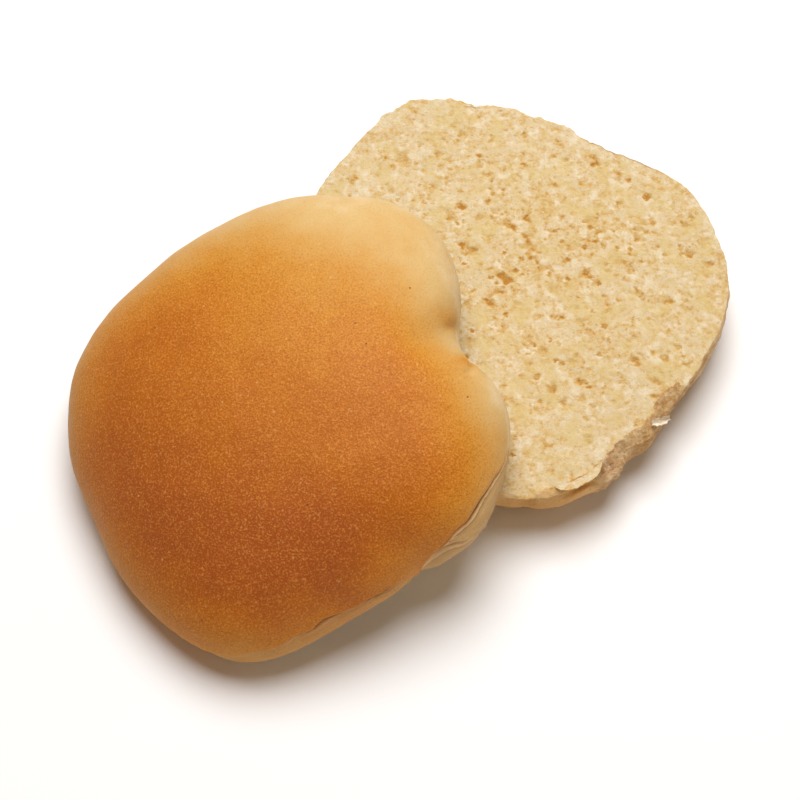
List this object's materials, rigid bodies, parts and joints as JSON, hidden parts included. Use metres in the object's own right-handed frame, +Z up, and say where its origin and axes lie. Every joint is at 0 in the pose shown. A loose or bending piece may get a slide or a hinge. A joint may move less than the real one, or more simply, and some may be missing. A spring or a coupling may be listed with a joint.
{
  "type": "bread roll",
  "caption": "Soft white bread roll cut in two, the domed top half leaning cut face down on the flat bottom half.",
  "frame": {"origin": "on the surface that the roll rests on, under the middle of the two halves' common box", "axes": "+Z up. +X to the right and +Y away from a viewer who has the top half at the front left and the bottom half at the back right"},
  "size_m": [0.1632, 0.1484, 0.0488],
  "materials": {
    "bottom_half": "porous cream crumb, matt, in a pale browned crust",
    "top_half": "thin golden brown crust with a soft satin sheen, cream crumb below"
  },
  "bodies": {
    "root": {"bottom_half": "bottom_half", "top_half": "top_half"}
  },
  "joints": []
}
